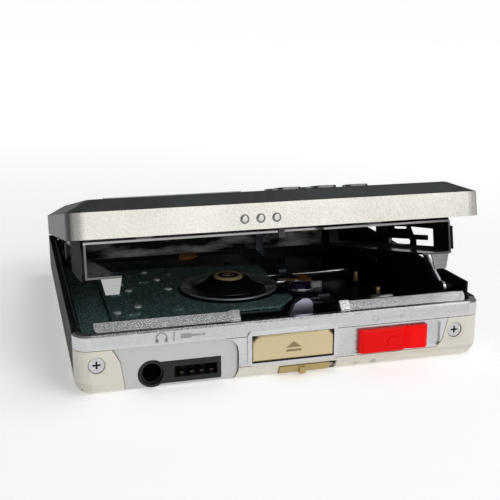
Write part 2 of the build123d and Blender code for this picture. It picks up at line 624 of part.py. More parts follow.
for side, label in ((-1, "left"), (1, "right")):
    near = bracket_in if side > 0 else -bracket_out
    with BuildPart() as bracket:
        with BuildSketch(shut_side.offset(near)):
            with BuildLine():
                Polyline((-38.9, 10.3), (-38.9, 5.6), (-37.4, 5.6), (-36.6, 4.2), (-24.0, 4.2), (-8.0, 4.8),
                         (-8.0, 11.8), (30.0, 11.8), (hinge_y - 1.3, hinge_z), (hinge_y + 1.3, hinge_z),
                         (hinge_y + 0.2, 14.0), (36.0, plate_z), (-37.4, plate_z), (-37.4, 10.3), close=True)
            make_face()
            with Locations((hinge_y, hinge_z)):
                Circle(1.3)
                Circle(pin_r + run_gap, mode=Mode.SUBTRACT)
            if side > 0:
                with BuildLine():
                    Polyline((-31.0, 9.6), (-31.0, 5.9), (-22.2, 5.9), (-22.2, 7.1), (-27.9, 7.1),
                             (-27.9, 8.2),
                             (-21.0, 8.2), (-19.7, 10.0), close=True)
                make_face(mode=Mode.SUBTRACT)
                with Locations((-14.4, 6.6)):
                    SlotOverall(10.6, 1.2, mode=Mode.SUBTRACT)
                with Locations((-14.6, 9.9)):
                    SlotOverall(7.0, 0.9, mode=Mode.SUBTRACT)
                with Locations((-35.2, 6.9)):
                    Circle(0.8, mode=Mode.SUBTRACT)
            with Locations((10, 13.2)):
                Rectangle(24, 1.2, mode=Mode.SUBTRACT)
        extrude(amount=sheet)
    keep(bracket, f"holder_bracket_{label}")

with BuildPart() as lid_catch:
    block(0.5, 1.7, catch_front, catch_back, 10.2, plate_z, shut)
keep(lid_catch, "lid_catch")

dot_x, dot_pitch, dot_z = -4.3, 3.1, lid_z + 2.05
with BuildPart() as lid_dots:
    for number in (-1, 0, 1):
        with BuildSketch(shut_front.offset(half_d)):
            with Locations((dot_x + dot_pitch * number, dot_z)):
                Circle(0.65)
        extrude(amount=0.35)
    fillet(lid_dots.faces().sort_by(Axis.Y)[:3].edges(), 0.2)
keep(lid_dots, "lid_dots")

with BuildPart() as lid_spring:
    for number in range(4):
        with BuildSketch(Plane.YZ.offset(-36.4 + 0.45 * number)):
            with Locations((hinge_y, hinge_z)):
                Circle(1.25)
                Circle(0.85, mode=Mode.SUBTRACT)
        extrude(amount=0.4)
    block(-36.4, -34.65, hinge_y - 1.2, hinge_y - 0.9, hinge_z - 0.3, hinge_z + 0.3)
    block(-36.4, -36.0, hinge_y - 6.0, hinge_y - 0.9, hinge_z - 1.2, hinge_z - 0.8)
keep(lid_spring, "lid_spring")

# ---------------------------------------------------------------- controls on the front
with BuildPart() as open_button:
    front_shape([(button_x0, button_z0), (button_x1, button_z0), (button_x1, button_z1),
                 (button_x0, button_z1)], -0.5, 2.1)
    tops = open_button.edges().filter_by(Axis.Y).group_by(Axis.Z)[-1]
    fillet(tops, 1.5)
    rim = open_button.faces().sort_by(Axis.Y)[0].edges()
    chamfer(rim, 0.3)
    block(button_x0 - 0.5, button_x1 + 0.5, -half_d + 1.5, -half_d + 2.1, button_z0 + 0.4, button_z1 - 0.6)
    block(0.0, 3.0, -half_d + 2.1, catch_front - 1.0, 5.0, 7.0)
keep(open_button, "open_button")

with BuildPart() as latch_hook:
    with BuildSketch(Plane.XZ.offset(-catch_back)):
        with BuildLine():
            Polyline((4.6, 2.4), (7.1, 2.4), (7.1, 12.6))
            RadiusArc((7.1, 12.6), (5.6, 14.1), -1.5)
            Polyline((5.6, 14.1), (4.9, 14.1), (3.4, 13.2), (2.3, 10.9), (2.7, 10.2), (3.9, 10.7),
                     (4.6, 10.0), (4.6, 2.4))
        make_face()
    extrude(amount=1.2)
    block(-4.0, 9.0, catch_front, catch_back, 2.3, 3.5)
keep(latch_hook, "latch_hook")

with BuildPart() as latch_spring:
    for number in range(6):
        rod(catch_front + 0.6, 3.0, 0.45, 0.25, Plane.YZ.offset(10.3 + 0.55 * number))
    rod(catch_front + 0.6, 3.0, 0.18, 3.4, Plane.YZ.offset(10.2))
keep(latch_spring, "latch_spring")

knob_front = -half_d - 0.9
with BuildPart() as rec_slider:
    with BuildSketch(Plane.XY.offset(rec_z0)):
        with BuildLine():
            Polyline((rec_x0, -half_d + 0.45), (rec_x0, knob_front + 0.3), (rec_x0 + 0.6, knob_front),
                     (rec_x0 + 9.0, knob_front), (rec_x0 + 10.0, knob_front + 0.75),
                     (rec_x0 + 11.0, knob_front + 0.25), (rec_x1 - 0.6, knob_front + 0.1),
                     (rec_x1, knob_front + 0.5), (rec_x1, -half_d + 0.45), close=True)
        make_face()
    extrude(amount=rec_z1 - rec_z0)
    fillet(rec_slider.faces().sort_by(Axis.Z)[-1].edges().filter_by(Axis.X), 0.3)
    with BuildSketch(Plane.XZ.offset(-knob_front - 0.1)):
        with Locations((rec_x0 + 7.2, 5.7)):
            SlotOverall(3.0, 1.5)
    extrude(amount=0.35)
    fillet(rec_slider.faces().sort_by(Axis.Y)[0].edges(), 0.2)
    block(rec_x0 + 2.2, rec_x1 - 2.1, -half_d + 0.45, -half_d + 1.9, 5.15, 6.65)
    block(rec_x0 + 0.8, rec_x1 - 0.8, -half_d + 1.4, -half_d + 1.9, 4.1, 7.7)
keep(rec_slider, "rec_slider")

with BuildPart() as hold_slider:
    with BuildSketch(Plane.YZ.offset(hold_x0)):
        with BuildLine():
            Polyline((-half_d - 0.15, 2.25), (-half_d, 1.3), (-half_d + 1.0, 0.45), (-half_d + 2.0, 0.45),
                     (-half_d + 2.0, 2.25), close=True)
        make_face()
    extrude(amount=hold_x1 - hold_x0)
    block(hold_x0 + 4.0, hold_x0 + 5.2, -half_d - 0.5, -half_d + 0.9, 0.6, 1.9)
    block(hold_x0 + 2.5, hold_x0 + 7.5, -half_d + 1.8, -half_d + 2.9, 1.35, 2.2)
keep(hold_slider, "hold_slider")

for x, label in zip(plunger_xs, ("protect_plunger", "cartridge_plunger")):
    with BuildPart() as plunger:
        rod(x, plunger_y, 0.6, 2.6, Plane.XY.offset(2.8))
        fillet(plunger.faces().sort_by(Axis.Z)[-1].edges(), 0.3)
    keep(plunger, label)

arm_end_y, arm_end_z = -24.0, 18.2
with BuildPart() as stay_arm:
    with BuildSketch(Plane.YZ.offset(arm_in)):
        with BuildLine():
            Line((arm_y, arm_z), (arm_end_y, arm_end_z))
        trace(line_width=1.3)
        with Locations((arm_end_y, arm_end_z)):
            Circle(0.9)
        with Locations((arm_y, arm_z)):
            Circle(1.4)
            Circle(0.6 + run_gap, mode=Mode.SUBTRACT)
    extrude(amount=arm_out - arm_in)
keep(stay_arm, "stay_arm")
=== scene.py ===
"""Finishes, small fittings, light and camera for a portable disc recorder."""
import json
from math import asin, cos, pi, radians, sin

import bmesh
import bpy
from mathutils import Matrix, Vector


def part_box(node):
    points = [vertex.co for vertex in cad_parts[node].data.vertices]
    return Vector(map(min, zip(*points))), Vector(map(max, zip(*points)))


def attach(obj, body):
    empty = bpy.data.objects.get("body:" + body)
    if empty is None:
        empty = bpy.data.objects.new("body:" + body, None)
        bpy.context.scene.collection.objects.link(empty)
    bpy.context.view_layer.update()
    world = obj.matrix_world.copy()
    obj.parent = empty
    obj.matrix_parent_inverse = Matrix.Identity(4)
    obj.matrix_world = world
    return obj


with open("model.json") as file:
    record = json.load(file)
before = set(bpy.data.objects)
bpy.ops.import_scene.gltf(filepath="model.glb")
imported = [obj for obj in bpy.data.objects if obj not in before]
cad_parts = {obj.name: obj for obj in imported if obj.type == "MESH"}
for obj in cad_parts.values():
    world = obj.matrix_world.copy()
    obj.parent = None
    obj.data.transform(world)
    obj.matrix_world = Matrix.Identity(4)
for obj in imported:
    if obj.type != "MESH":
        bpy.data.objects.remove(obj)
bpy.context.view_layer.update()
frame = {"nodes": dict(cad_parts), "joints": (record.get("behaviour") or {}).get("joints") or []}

bl_info = {
    "name": "Portable Disc Recorder",
    "version": (1, 0, 0),
    "blender": (4, 5, 0),
    "location": "View3D > Sidebar > Disc Recorder",
    "description": "Finishes, fittings, light and camera for a portable disc recorder",
    "category": "Object",
}

MM = 0.001
NODES = frame["nodes"]
JOINTS = {joint["name"]: joint for joint in frame["joints"]}
HINGE = Vector(JOINTS["lid_hinge"]["pos_m"])
LID_OPEN = -radians(JOINTS["lid_hinge"]["range_deg"][0])
LID_TURN = Matrix.Translation(HINGE) @ Matrix.Rotation(-LID_OPEN, 4, "X") @ Matrix.Translation(-HINGE)
LID_FACING = tuple(LID_TURN.to_3x3() @ Vector((0, -1, 0)))
CASE_LOW, CASE_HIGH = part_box("lower_case")
FRONT_Y = CASE_LOW.y
BACK_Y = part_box("rear_cover")[1].y
CASE_WALL = 1.2 * MM
# How far short of the back the painted reflection on the rear cover stops.
REFLECTION_INSET = 0.8 * MM
CORNER_ROOM = Vector((3.4, 3.4, 0.0)) * MM
LID_FRONT_DEPTH = 2.5 * MM
SCREW_RIM = 0.33 * MM
# Heights on the shut lid, above which the holder is wall and then roof.
HOLDER_FOOT = 4.7 * MM
HOLDER_ROOF = 11.1 * MM
# Levels in the bay in mm: the cover sheet, the pickup's guards and the deck.
COVER_LEVEL = 4.02
GUARD_LEVEL = 4.1
DECK_LEVEL = 4.86
# Bump distances in metres.
HAIRLINE = 0.00002
SKIN = 0.00003
GRAIN = 0.00004
BLAST = 0.00005
PEEL = 0.00006
DIMPLE = 0.00016
EDGE_ANGLE = radians(38)


# ---------------------------------------------------------------- shader tools
class Signal:
    """A shader socket that takes part in Python arithmetic."""

    def __init__(self, tree, socket):
        self.tree = tree
        self.socket = socket

    def _math(self, operation, left, right):
        node = self.tree.nodes.new("ShaderNodeMath")
        node.operation = operation
        for index, item in enumerate((left, right)):
            if isinstance(item, Signal):
                self.tree.links.new(item.socket, node.inputs[index])
            else:
                node.inputs[index].default_value = item
        return Signal(self.tree, node.outputs[0])

    def __add__(self, other):
        return self._math("ADD", self, other)

    def __radd__(self, other):
        return self._math("ADD", other, self)

    def __sub__(self, other):
        return self._math("SUBTRACT", self, other)

    def __rsub__(self, other):
        return self._math("SUBTRACT", other, self)

    def __mul__(self, other):
        return self._math("MULTIPLY", self, other)

    def __rmul__(self, other):
        return self._math("MULTIPLY", other, self)

    def above(self, limit):
        return self._math("GREATER_THAN", self, limit)

    def least(self, other):
        return self._math("MINIMUM", self, other)


class Finish:
    """A material with one Principled shader and the nodes that feed it."""

    def __init__(self, name, **constants):
        self.material = bpy.data.materials.new(name)
        self.material.use_nodes = True
        self.tree = self.material.node_tree
        self.shader = self.tree.nodes["Principled BSDF"]
        for socket, value in constants.items():
            self.shader.inputs[socket.replace("_", " ")].default_value = value
        place = self.node("ShaderNodeTexCoord")
        self.place = self.out(place, "Object")

    def node(self, kind, settings=None, sockets=None):
        """Make one node: its settings first, then its sockets' values or links."""
        node = self.tree.nodes.new(kind)
        for setting, value in (settings or {}).items():
            setattr(node, setting, value)
        for socket, value in (sockets or {}).items():
            target = node.inputs[socket]
            if isinstance(value, Signal):
                self.tree.links.new(value.socket, target)
            else:
                target.default_value = value
        return node

    def out(self, node, output=0):
        return Signal(self.tree, node.outputs[output])

    def reach(self, direction, start=0.0):
        """Distance in metres along a direction, less a starting distance."""
        node = self.node("ShaderNodeVectorMath", {"operation": "DOT_PRODUCT"}, {0: self.place, 1: direction})
        return self.out(node, "Value") - start

    def within(self, low, high):
        """Mask that is 1 inside a box between two corners in metres."""
        mask = None
        for axis, (start, end) in enumerate(zip(low, high)):
            line = tuple(1.0 if index == axis else 0.0 for index in range(3))
            span = self.reach(line).above(start) * (1.0 - self.reach(line).above(end))
            mask = span if mask is None else mask * span
        return mask

    def lid_reach(self, axis, start):
        """Distance along an axis of the shut lid, less a starting distance in metres."""
        line = LID_TURN.to_3x3() @ Vector(axis)
        moved = Vector(axis).dot(LID_TURN.inverted().translation)
        return self.reach(tuple(line), start - moved)

    def feed(self, socket, signal):
        self.tree.links.new(signal.socket, self.shader.inputs[socket])

    def stretched(self, scale):
        """Place coordinates with each axis scaled by its own factor."""
        node = self.node("ShaderNodeVectorMath", {"operation": "MULTIPLY"}, {0: self.place, 1: scale})
        return self.out(node)

    def noise(self, scale, detail=2.0, place=None, roughness=0.5):
        node = self.node("ShaderNodeTexNoise", None, {"Vector": place or self.place, "Scale": scale,
                                                      "Detail": detail, "Roughness": roughness})
        return self.out(node, 0)

    def cells(self, scale, place=None, feature="F1", randomness=1.0):
        node = self.node("ShaderNodeTexVoronoi", {"feature": feature},
                         {"Vector": place or self.place, "Scale": scale, "Randomness": randomness})
        return self.out(node, 0)

    def edges(self, low=0.51, high=0.56):
        """Mask that is 1 on convex edges, where a finish wears bright."""
        geometry = self.node("ShaderNodeNewGeometry")
        ramp = self.node("ShaderNodeMapRange", None, {"Value": self.out(geometry, "Pointiness"),
                                                      "From Min": low, "From Max": high})
        return self.out(ramp)

    def blend(self, mask, shade_a, shade_b):
        """Mix two colours by a mask."""
        sides = {}
        for index, shade in ((6, shade_a), (7, shade_b)):
            sides[index] = shade if isinstance(shade, Signal) else (*shade[:3], 1)
        sides[0] = mask
        node = self.node("ShaderNodeMix", {"data_type": "RGBA"}, sides)
        return self.out(node, 2)

    def relief(self, height, strength, distance):
        node = self.node("ShaderNodeBump", None,
                         {"Height": height, "Strength": strength, "Distance": distance})
        self.feed("Normal", self.out(node, "Normal"))


def shade_of(rgb, factor):
    return tuple(min(1.0, channel * factor) for channel in rgb)


def satin_metal(name, rgb, roughness=0.32, sparkle=0.25, grain=9000.0, wear=1.15, metallic=1.0):
    """Blasted or cast metal: fine sparkling grain, soft blotches and brighter edges."""
    finish = Finish(name, Metallic=metallic)
    grains = finish.noise(grain, 3.0)
    blotch = finish.noise(90.0, 4.0)
    tone = (grains - 0.5) * sparkle * 2.0 + blotch * 0.6
    mix = finish.blend(tone, shade_of(rgb, 0.86), shade_of(rgb, 1.08))
    finish.feed("Base Color", finish.blend(finish.edges(), mix, shade_of(rgb, wear)))
    finish.feed("Roughness", roughness + (grains - 0.5) * sparkle + (blotch - 0.5) * 0.12)
    finish.relief(grains, 0.22, GRAIN)
    return finish.material


def brushed_metal(name, rgb, roughness=0.28, along=(1.0, 0.04, 1.0), grain=5000.0, wear=1.2):
    """Rolled sheet or ground bar with fine lines along one axis."""
    finish = Finish(name, Metallic=1.0)
    lines = finish.noise(grain, 3.0, finish.stretched(along))
    smudge = finish.noise(140.0, 3.0)
    mix = finish.blend(lines * 0.7 + smudge * 0.4, shade_of(rgb, 0.78), shade_of(rgb, 1.1))
    finish.feed("Base Color", finish.blend(finish.edges(), mix, shade_of(rgb, wear)))
    finish.feed("Roughness", roughness + (lines - 0.5) * 0.22 + (smudge - 0.5) * 0.15)
    finish.relief(lines, 0.15, SKIN)
    return finish.material


def moulded(name, rgb, roughness=0.4, grain=4200.0, depth=0.25, coat=0.0, wear=1.5, dust=0.04, shine=0.5):
    """Moulded plastic or paint: fine grain, faint dust in soft blotches, polished edges."""
    finish = Finish(name, Coat_Weight=coat, Coat_Roughness=0.08, Specular_IOR_Level=shine)
    grains = finish.cells(grain)
    blotch = finish.noise(160.0, 4.0)
    dusty = finish.blend((blotch - 0.45) * dust * 6.0, rgb, shade_of((max(rgb), max(rgb), max(rgb)), 1.2))
    finish.feed("Base Color", finish.blend(finish.edges(0.52, 0.6), dusty, shade_of(rgb, wear)))
    finish.feed("Roughness", roughness + (blotch - 0.5) * 0.16 + (grains - 0.4) * 0.08)
    finish.relief(grains, depth, SKIN)
    return finish.material


def painted_case(name, rgb, inner):
    """Satin paint outside; inside the walls, near-black painted shade."""
    finish = Finish(name, Metallic=0.2, Coat_Weight=0.3, Coat_Roughness=0.25)
    grains = finish.noise(6000.0, 3.0)
    blotch = finish.noise(90.0, 4.0)
    paint = finish.blend((grains - 0.5) * 0.5 + blotch * 0.7, shade_of(rgb, 0.9), shade_of(rgb, 1.06))
    worn = finish.blend(finish.edges(), paint, shade_of(rgb, 1.15))
    wall = CASE_WALL * 0.96
    low = CASE_LOW + Vector((wall, wall, wall))
    high = CASE_HIGH + Vector((-wall, -wall, wall))
    # Inside the walls the paint gives way to painted shade.
    finish.feed("Base Color", finish.blend(finish.within(low, high), worn, inner))
    finish.feed("Roughness", 0.40 + (grains - 0.5) * 0.16 + (blotch - 0.5) * 0.12)
    finish.relief(grains, 0.16, GRAIN)
    return finish.material


def cover_with_painted_reflection(name, rgb, reflection_colour):
    """Black moulding outside; painted reflection on the wall that faces the bay: bright smeared streaks."""
    finish = Finish(name, Specular_IOR_Level=0.15)
    grains = finish.cells(3800.0)
    reflection_smear = finish.noise(150.0, 4.0, finish.stretched((0.5, 1.0, 1.6)))
    # Painted reflection: bright smeared streaks on the bay side.
    reflection_streak = (reflection_smear - 0.46) * 5.0
    sheet = finish.blend(reflection_streak.least(1.0), rgb, reflection_colour)
    low = CASE_LOW + CORNER_ROOM
    high = Vector((CASE_HIGH.x - CORNER_ROOM.x, BACK_Y - REFLECTION_INSET, 1.0))
    inside = finish.within(low, high)
    finish.feed("Base Color", finish.blend(inside, rgb, sheet))
    finish.feed("Roughness", 0.5 - inside * 0.15 + (reflection_smear - 0.5) * 0.1)
    finish.relief(grains, 0.3, SKIN)
    return finish.material


def lid_with_painted_shade(name, rgb, dark):
    """Blasted champagne front; the top, sides and back get a dark painted shade."""
    finish = Finish(name, Metallic=1.0)
    grains = finish.noise(3600.0, 3.0)
    coarse = finish.noise(1500.0, 2.0)
    blotch = finish.noise(70.0, 4.0)
    tone = (grains - 0.5) * 2.4 + (coarse - 0.5) * 0.3 + blotch
    front = finish.blend(tone, shade_of(rgb, 0.84), shade_of(rgb, 1.24))
    # Painted shade: the faces that turn away from the front are coloured dark.
    painted_shade_tone = finish.blend(tone, shade_of(dark, 0.72), shade_of(dark, 1.35))
    normal = finish.out(finish.node("ShaderNodeTexCoord"), "Normal")
    facing = finish.node("ShaderNodeVectorMath", {"operation": "DOT_PRODUCT"}, {0: normal, 1: LID_FACING})
    ramp = finish.node("ShaderNodeMapRange", None, {"Value": finish.out(facing, "Value"),
                                                    "From Min": 0.62, "From Max": 0.86})
    mask = finish.out(ramp) * (1.0 - finish.lid_reach((0, 1, 0), FRONT_Y + LID_FRONT_DEPTH).above(0.0))
    finish.feed("Base Color", finish.blend(mask, painted_shade_tone, front))
    finish.feed("Roughness", 0.46 + (grains - 0.5) * 0.4)
    finish.relief(grains + coarse * 0.6, 0.30, BLAST)
    return finish.material


def recessed_head(name, rgb, pit_shade):
    """Plated screw head, with painted shade below its rim."""
    finish = Finish(name, Metallic=1.0)
    turned = finish.noise(3000.0, 3.0)
    # Painted shade: all of the head that lies deeper than its rim is coloured dark.
    deep = finish.reach((0, 1, 0), FRONT_Y + SCREW_RIM).above(0.0)
    plate = finish.blend(turned, shade_of(rgb, 0.8), shade_of(rgb, 1.1))
    finish.feed("Base Color", finish.blend(deep, plate, pit_shade))
    finish.feed("Roughness", 0.22 + turned * 0.16 + deep * 0.3)
    finish.relief(turned, 0.1, SKIN)
    return finish.material


def channel_sheet(name, rgb, dark):
    """Sheet with painted light: a painted highlight on the holder's feet, painted dark reflections on its
    walls, painted bright reflection streaks on its roof, and bright cut edges.
    """
    finish = Finish(name, Metallic=1.0)
    lines = finish.noise(4200.0, 3.0, finish.stretched((0.05, 1.0, 1.0)))
    smudge = finish.noise(160.0, 4.0)
    # Painted highlight: the feet are coloured bright.
    bright = finish.blend(lines * 0.8 + smudge * 0.3, shade_of(rgb, 0.8), shade_of(rgb, 1.1))
    # Painted reflection: the walls are coloured dark.
    dull = finish.blend(lines * 0.6 + smudge * 0.5, shade_of(dark, 0.6), shade_of(dark, 1.6))
    roof = finish.lid_reach((0, 0, 1), HOLDER_ROOF).above(0.0)
    # Painted reflection: bright streaks across the roof.
    reflection_streak = finish.noise(60.0, 4.0, finish.stretched((1.0, 0.25, 1.0)))
    dull = finish.blend(roof * reflection_streak * 1.6, dull, shade_of(rgb, 0.9))
    foot = 1.0 - finish.lid_reach((0, 0, 1), HOLDER_FOOT).above(0.0)
    mixed = finish.blend(foot, dull, bright)
    finish.feed("Base Color", finish.blend(finish.edges(0.515, 0.55) * 0.3, mixed, rgb))
    finish.feed("Roughness", 0.2 + (lines - 0.5) * 0.2 + (smudge - 0.5) * 0.12)
    finish.relief(lines, 0.12, SKIN)
    return finish.material


def gloss(name, rgb, roughness=0.16, coat=0.7, shine=0.5):
    """Glossy moulding with faint orange peel and handling marks."""
    finish = Finish(name, Coat_Weight=coat, Coat_Roughness=0.06, Specular_IOR_Level=shine)
    peel = finish.noise(1300.0, 2.0)
    marks = finish.noise(260.0, 5.0)
    tone = finish.blend(marks, shade_of(rgb, 0.86), shade_of(rgb, 1.05))
    finish.feed("Base Color", finish.blend(finish.edges(0.52, 0.6), tone, shade_of(rgb, 1.15)))
    finish.feed("Roughness", roughness + (marks - 0.5) * 0.18)
    finish.relief(peel, 0.12, PEEL)
    return finish.material


def dimpled_deck(name, rgb):
    """Dark coated sheet with rows of small raised dimples, each with a painted highlight."""
    finish = Finish(name, Metallic=0.12)
    rows = finish.cells(1000.0, finish.stretched((1.5, 0.55, 1.0)), "F1", 0.45)
    domes = 1.0 - (rows * 2.2).least(1.0)
    fine = finish.noise(7000.0, 2.0)
    blotch = finish.noise(70.0, 4.0)
    base = finish.blend(blotch, shade_of(rgb, 0.7), shade_of(rgb, 1.35))
    # Painted highlight: the dimples are coloured five times brighter than the sheet.
    finish.feed("Base Color", finish.blend(domes * 0.9, base, shade_of(rgb, 5.0)))
    finish.feed("Roughness", 0.34 + (fine - 0.5) * 0.2 - domes * 0.08)
    finish.relief(domes + fine * 0.15, 0.8, DIMPLE)
    return finish.material


def circuit(name, rgb, trace):
    """Lacquered board with copper tracks under the lacquer."""
    finish = Finish(name, Coat_Weight=0.4)
    lanes = finish.cells(420.0, finish.stretched((1.0, 1.0, 0.05)), "DISTANCE_TO_EDGE")
    tracks = 1.0 - (lanes * 9.0).least(1.0)
    speck = finish.noise(900.0, 2.0)
    finish.feed("Base Color", finish.blend(tracks, rgb, trace))
    finish.feed("Roughness", 0.3 + speck * 0.25)
    finish.relief(tracks, 0.3, GRAIN)
    return finish.material


def film(name, rgb, trace):
    """Flexible film with fine parallel copper tracks."""
    finish = Finish(name, Coat_Weight=0.5, Coat_Roughness=0.1)
    wave = finish.node("ShaderNodeTexWave", {"wave_type": "BANDS", "bands_direction": "X"},
                       {"Vector": finish.place, "Scale": 420.0, "Distortion": 0.4})
    tracks = finish.out(wave, 1).above(0.55)
    finish.feed("Base Color", finish.blend(tracks, rgb, trace))
    finish.feed("Roughness", 0.25 + finish.noise(600.0) * 0.2)
    finish.relief(tracks, 0.2, SKIN)
    return finish.material


def liquid_display(name, rgb, ink):
    """Reflective display with faint rows of unlit cells."""
    finish = Finish(name, Coat_Weight=0.6, Coat_Roughness=0.05)
    grid = finish.cells(1500.0, None, "F1", 0.0)
    cells = (grid * 1.7).least(1.0)
    finish.feed("Base Color", finish.blend(cells * 0.35, rgb, ink))
    finish.feed("Roughness", 0.22 + finish.noise(500.0) * 0.1)
    finish.relief(cells, 0.05, HAIRLINE)
    return finish.material


def lens_glass(name):
    """Coated lens with a violet bloom and dust."""
    finish = Finish(name, Coat_Weight=1.0, Coat_Roughness=0.02, Metallic=0.2)
    rim = finish.noise(800.0, 2.0)
    finish.feed("Base Color", finish.blend(rim, (0.02, 0.03, 0.09), (0.10, 0.05, 0.16)))
    finish.feed("Roughness", 0.05 + rim * 0.08)
    finish.relief(rim, 0.03, HAIRLINE)
    return finish.material


def pale_stage(name, shade, near, far):
    """Plain paper for the floor, with painted light: it glows, and glows a little brighter away from the
    object.
    """
    finish = Finish(name, Emission_Strength=1.0, Specular_IOR_Level=0.1)
    fibre = finish.noise(300.0, 3.0)
    finish.feed("Base Color", finish.blend(fibre, shade_of(shade, 0.995), shade))
    finish.feed("Roughness", 0.9 + fibre * 0.05)
    away = finish.node("ShaderNodeVectorMath", {"operation": "LENGTH"}, {0: finish.place})
    ramp = finish.node("ShaderNodeMapRange", None, {"Value": finish.out(away, "Value"),
                                                    "From Min": 0.10, "From Max": 0.8})
    # Painted light: the floor's glow is weaker near the object and stronger away from it.
    finish.feed("Emission Color", finish.blend(finish.out(ramp), near, far))
    return finish.material


# ---------------------------------------------------------------- mesh tools
def new_piece(name, mesh, body, material):
    piece = bpy.data.objects.new(name, mesh)
    bpy.context.scene.collection.objects.link(piece)
    piece.data.materials.append(material)
    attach(piece, body)
    return piece


def plate_mesh(name, outlines, thickness, matrix):
    """Raised flat shapes: each outline is a list of points in mm on a plane, built up by a thickness."""
    mesh = bmesh.new()
    for outline in outlines:
        verts = [mesh.verts.new((x * MM, y * MM, 0)) for x, y in outline]
        face = mesh.faces.new(verts)
        grown = bmesh.ops.extrude_face_region(mesh, geom=[face])
        top = [item for item in grown["geom"] if isinstance(item, bmesh.types.BMVert)]
        bmesh.ops.translate(mesh, vec=(0, 0, thickness * MM), verts=top)
    bmesh.ops.recalc_face_normals(mesh, faces=mesh.faces)
    bmesh.ops.transform(mesh, matrix=matrix, verts=mesh.verts)
    data = bpy.data.meshes.new(name)
    mesh.to_mesh(data)
    mesh.free()
    return data


def arc_band(cx, cy, r, width, start, end, steps=20):
    """Outline of a curved bar about a centre, between two angles in degrees."""
    outer, inner = [], []
    for step in range(steps + 1):
        angle = radians(start + (end - start) * step / steps)
        outer.append((cx + (r + width / 2) * cos(angle), cy + (r + width / 2) * sin(angle)))
        inner.append((cx + (r - width / 2) * cos(angle), cy + (r - width / 2) * sin(angle)))
    return outer + inner[::-1]


def bar(x0, y0, x1, y1):
    return [(x0, y0), (x1, y0), (x1, y1), (x0, y1)]


def spot(x, y, z):
    """Matrix that moves a shape to a place in mm."""
    return Matrix.Translation((x * MM, y * MM, z * MM))


def front_plane(x, z, y=FRONT_Y / MM, tilt=0.0):
    """Matrix of a plane on the front: local x runs right, local y runs up, local z comes out."""
    return spot(x, y, z) @ Matrix.Rotation(pi / 2 + tilt, 4, "X")


def lathe_mesh(name, profile, matrix, steps=40):
    """Turned shape from (radius, height) points in mm."""
    mesh = bmesh.new()
    rings = []
    for radius, height in profile:
        ring = []
        for step in range(steps):
            angle = 2 * pi * step / steps
            ring.append(mesh.verts.new((radius * MM * cos(angle), radius * MM * sin(angle), height * MM)))
        rings.append(ring)
    for low, high in zip(rings, rings[1:]):
        for step in range(steps):
            after = (step + 1) % steps
            mesh.faces.new((low[step], low[after], high[after], high[step]))
    mesh.faces.new(rings[0][::-1])
    mesh.faces.new(rings[-1])
    bmesh.ops.recalc_face_normals(mesh, faces=mesh.faces)
    bmesh.ops.transform(mesh, matrix=matrix, verts=mesh.verts)
    data = bpy.data.meshes.new(name)
    mesh.to_mesh(data)
    mesh.free()
    for polygon in data.polygons:
        polygon.use_smooth = True
    return data


def bevel(piece, width, segments=2):
    """Round a piece's sharp edges a little, without touching its mesh."""
    rounder = piece.modifiers.new("Round edges", "BEVEL")
    rounder.width = width * MM
    rounder.segments = segments
    rounder.limit_method = "ANGLE"
    rounder.angle_limit = EDGE_ANGLE


def dress(names, material, round_by=0.0):
    """Give CAD nodes their finish, and round their edges where asked."""
    for name in names:
        piece = NODES[name]
        piece.data.materials.clear()
        piece.data.materials.append(material)
        if round_by:
            bevel(piece, round_by)


# ---------------------------------------------------------------- settings
class RecorderSettings(bpy.types.PropertyGroup):
    """Colours and sizes that a user would change."""

    silver: bpy.props.FloatVectorProperty(name="Silver", description="Front panel and belt colour",
                                          default=(0.59, 0.595, 0.60), subtype="COLOR", size=3)
    champagne: bpy.props.FloatVectorProperty(name="Lid", description="Lid shell colour",
                                             default=(0.57, 0.555, 0.51), subtype="COLOR", size=3)
    # Painted shade for the lid's top, sides and back.
    lid_painted_shade: bpy.props.FloatVectorProperty(name="Lid top", description="Colour of the lid's top and sides",
                                           default=(0.085, 0.092, 0.092), subtype="COLOR", size=3)
    cream: bpy.props.FloatVectorProperty(name="Lower case", description="Lower case colour",
                                         default=(0.56, 0.535, 0.46), subtype="COLOR", size=3)
    red: bpy.props.FloatVectorProperty(name="Record slider", description="Record slider colour",
                                       default=(0.80, 0.0, 0.0), subtype="COLOR", size=3)
    gold: bpy.props.FloatVectorProperty(name="Open button", description="Open button colour",
                                        default=(0.52, 0.435, 0.265), subtype="COLOR", size=3)
    deck: bpy.props.FloatVectorProperty(name="Deck", description="Deck plate colour",
                                        default=(0.125, 0.21, 0.215), subtype="COLOR", size=3)
    sign_height: bpy.props.FloatProperty(name="Sign height", description="Height of the raised signs in mm",
                                         default=0.05, min=0.01, max=0.2)


def settings():
    return bpy.context.scene.recorder


